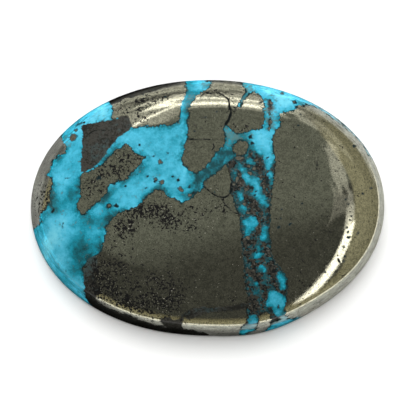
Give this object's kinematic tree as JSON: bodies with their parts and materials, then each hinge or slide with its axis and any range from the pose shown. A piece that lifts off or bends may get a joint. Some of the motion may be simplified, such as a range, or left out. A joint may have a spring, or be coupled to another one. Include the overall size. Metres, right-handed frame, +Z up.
{
  "type": "polished turquoise and pyrite cabochon",
  "caption": "Polished oval cabochon of sky-blue turquoise in pyrite, with a low dome, a girdle wall that leans in for a bezel, and a flat back that it lies on.",
  "frame": {"origin": "under the middle of the oval, on the plane that the flat back rests on", "axes": "+Z up out of the domed face, +X along the oval's long axis, +Y across it"},
  "size_m": [0.025, 0.0182, 0.0047],
  "materials": {
    "turquoise_in_pyrite": "polished dome of sky-blue turquoise, pale brassy pyrite and dark grey matrix, with a finely ground girdle wall"
  },
  "bodies": {
    "root": {"cabochon": "turquoise_in_pyrite"}
  },
  "joints": []
}
